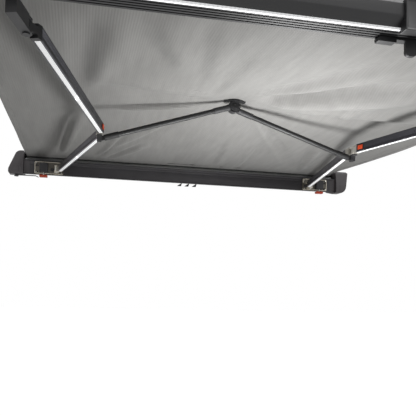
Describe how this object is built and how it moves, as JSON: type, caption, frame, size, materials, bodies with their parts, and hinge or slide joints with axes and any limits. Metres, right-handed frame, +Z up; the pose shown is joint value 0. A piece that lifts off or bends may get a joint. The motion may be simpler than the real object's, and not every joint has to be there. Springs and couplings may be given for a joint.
{
  "type": "vehicle side awning",
  "caption": "Vehicle side awning: a roller housing with folding arms, lead rail, light strips and a hinged brace whose hub lifts the ribbed fabric.",
  "frame": {"origin": "middle of the housing's back face, level with the middle of the folding arms", "axes": "+X along the housing to the right as seen from the lead rail, +Y into the vehicle, +Z up; the awning opens towards -Y"},
  "size_m": [2.1, 1.7398, 0.2288],
  "materials": {
    "housing_coat": "black powder coat on an aluminium extrusion",
    "cap_plastic": "fine moulded grain",
    "roller_metal": "mill finish",
    "pin_steel": "bright",
    "cast_metal": "cast, satin",
    "black_plastic": "satin moulded",
    "orange_plastic": "moulded",
    "foot_rubber": "matt",
    "arm_metal": "dark anodised",
    "light_strip": "white diffuser",
    "brace_metal": "black coated tube",
    "rail_coat": "fine-grained dark coat",
    "canopy_cloth": "ribbed coated canvas"
  },
  "bodies": {
    "housing": {"housing_shell": "housing_coat", "end_cap_left": "cap_plastic", "end_cap_right": "cap_plastic", "roller_pin_left": "pin_steel", "roller_pin_right": "pin_steel", "shoulder_bracket_left": "cast_metal", "shoulder_bracket_right": "cast_metal", "shoulder_block_left": "black_plastic", "shoulder_block_right": "black_plastic", "shoulder_pin_left": "pin_steel", "shoulder_pin_right": "pin_steel", "latch_knob": "black_plastic", "foot_left": "foot_rubber", "foot_centre": "foot_rubber", "foot_right": "foot_rubber", "canopy": "canopy_cloth"},
    "roller": {"roller_tube": "roller_metal"},
    "release_left": {"release_stem_left": "cast_metal", "release_tab_left": "orange_plastic"},
    "release_right": {"release_stem_right": "cast_metal", "release_tab_right": "orange_plastic"},
    "latch": {"latch_lever": "black_plastic"},
    "upper_left": {"upper_arm_left": "arm_metal", "upper_arm_light_left": "light_strip", "upper_shoulder_end_left": "cast_metal", "upper_elbow_fork_left": "cast_metal", "elbow_pin_left": "pin_steel"},
    "upper_right": {"upper_arm_right": "arm_metal", "upper_arm_light_right": "light_strip", "upper_shoulder_end_right": "cast_metal", "upper_elbow_fork_right": "cast_metal", "elbow_pin_right": "pin_steel"},
    "fore_left": {"forearm_left": "arm_metal", "forearm_light_left": "light_strip", "forearm_elbow_end_left": "cast_metal", "forearm_wrist_end_left": "arm_metal", "forearm_clip_left": "orange_plastic"},
    "fore_right": {"forearm_right": "arm_metal", "forearm_light_right": "light_strip", "forearm_elbow_end_right": "cast_metal", "forearm_wrist_end_right": "arm_metal", "forearm_clip_right": "orange_plastic"},
    "front": {"lead_rail": "rail_coat", "lead_rail_light": "light_strip", "rail_cap_left": "black_plastic", "rail_cap_right": "black_plastic", "wrist_bracket_left": "rail_coat", "wrist_bracket_right": "rail_coat", "wrist_pin_left": "rail_coat", "wrist_pin_right": "rail_coat", "rail_catch": "black_plastic"},
    "yoke_left": {"brace_yoke_left": "black_plastic"},
    "yoke_right": {"brace_yoke_right": "black_plastic"},
    "brace_left": {"brace_tube_left": "brace_metal", "brace_hub_left": "black_plastic", "hub_pad": "foot_rubber"},
    "brace_right": {"brace_tube_right": "brace_metal", "brace_hub_right": "black_plastic"},
    "button": {"hub_button": "black_plastic"}
  },
  "joints": [
    {"name": "arm_fold", "type": "hinge", "parent": "housing", "child": "upper_left", "pos_m": [-0.78, -0.14, 0], "axis": [0, 0, 1], "range_deg": [0, 71.5], "deforming": ["canopy"]},
    {"name": "elbow_left", "type": "hinge", "parent": "upper_left", "child": "fore_left", "pos_m": [-0.57179, -0.87092, 0], "axis": [0, 0, 1], "range_deg": [-143, 0]},
    {"name": "wrist_left", "type": "hinge", "parent": "fore_left", "child": "front", "pos_m": [-0.78, -1.60185, 0], "axis": [0, 0, 1], "range_deg": [0, 71.5]},
    {"name": "shoulder_right", "type": "hinge", "parent": "housing", "child": "upper_right", "pos_m": [0.78, -0.14, 0], "axis": [0, 0, 1], "range_deg": [-71.5, 0]},
    {"name": "elbow_right", "type": "hinge", "parent": "upper_right", "child": "fore_right", "pos_m": [0.57179, -0.87092, 0], "axis": [0, 0, 1], "range_deg": [0, 143]},
    {"name": "yoke_swivel_left", "type": "hinge", "parent": "upper_left", "child": "yoke_left", "pos_m": [-0.57179, -0.87092, -0.0185], "axis": [0, 0, 1], "range_deg": [-71.5, 0]},
    {"name": "yoke_swivel_right", "type": "hinge", "parent": "upper_right", "child": "yoke_right", "pos_m": [0.57179, -0.87092, -0.0185], "axis": [0, 0, 1], "range_deg": [0, 71.5]},
    {"name": "brace_pitch_left", "type": "hinge", "parent": "yoke_left", "child": "brace_left", "pos_m": [-0.57179, -0.88442, -0.036], "axis": [0, 1, 0], "range_deg": [0, 196.62]},
    {"name": "brace_pitch_right", "type": "hinge", "parent": "yoke_right", "child": "brace_right", "pos_m": [0.57179, -0.85742, -0.036], "axis": [0, 1, 0], "range_deg": [-196.62, 0]},
    {"name": "roller_spin", "type": "hinge", "parent": "housing", "child": "roller", "pos_m": [0, -0.05, 0.058], "axis": [1, 0, 0], "range_deg": [-2860, 0]},
    {"name": "hub_button_press", "type": "slide", "parent": "brace_left", "child": "button", "axis": [0, 1, 0], "range_m": [0, 0.004], "stiffness_N_per_m": 400, "springref_m": -0.002},
    {"name": "release_pull_left", "type": "slide", "parent": "housing", "child": "release_left", "axis": [0, 0, -1], "range_m": [0, 0.01], "stiffness_N_per_m": 300, "springref_m": -0.01},
    {"name": "release_pull_right", "type": "slide", "parent": "housing", "child": "release_right", "axis": [0, 0, -1], "range_m": [0, 0.01], "stiffness_N_per_m": 300, "springref_m": -0.01},
    {"name": "latch_swing", "type": "hinge", "parent": "housing", "child": "latch", "pos_m": [-1.006, -0.1, -0.0365], "axis": [0, 0, 1], "range_deg": [-90, 0]}
  ],
  "couplings": [
    {"joint": "elbow_left", "follows": "arm_fold", "ratio": -2},
    {"joint": "wrist_left", "follows": "arm_fold", "ratio": 1},
    {"joint": "shoulder_right", "follows": "arm_fold", "ratio": -1},
    {"joint": "elbow_right", "follows": "arm_fold", "ratio": 2},
    {"joint": "yoke_swivel_left", "follows": "arm_fold", "ratio": -1},
    {"joint": "yoke_swivel_right", "follows": "arm_fold", "ratio": 1},
    {"joint": "brace_pitch_left", "follows": "arm_fold", "ratio": 2.75},
    {"joint": "brace_pitch_right", "follows": "arm_fold", "ratio": -2.75},
    {"joint": "roller_spin", "follows": "arm_fold", "ratio": -40}
  ]
}
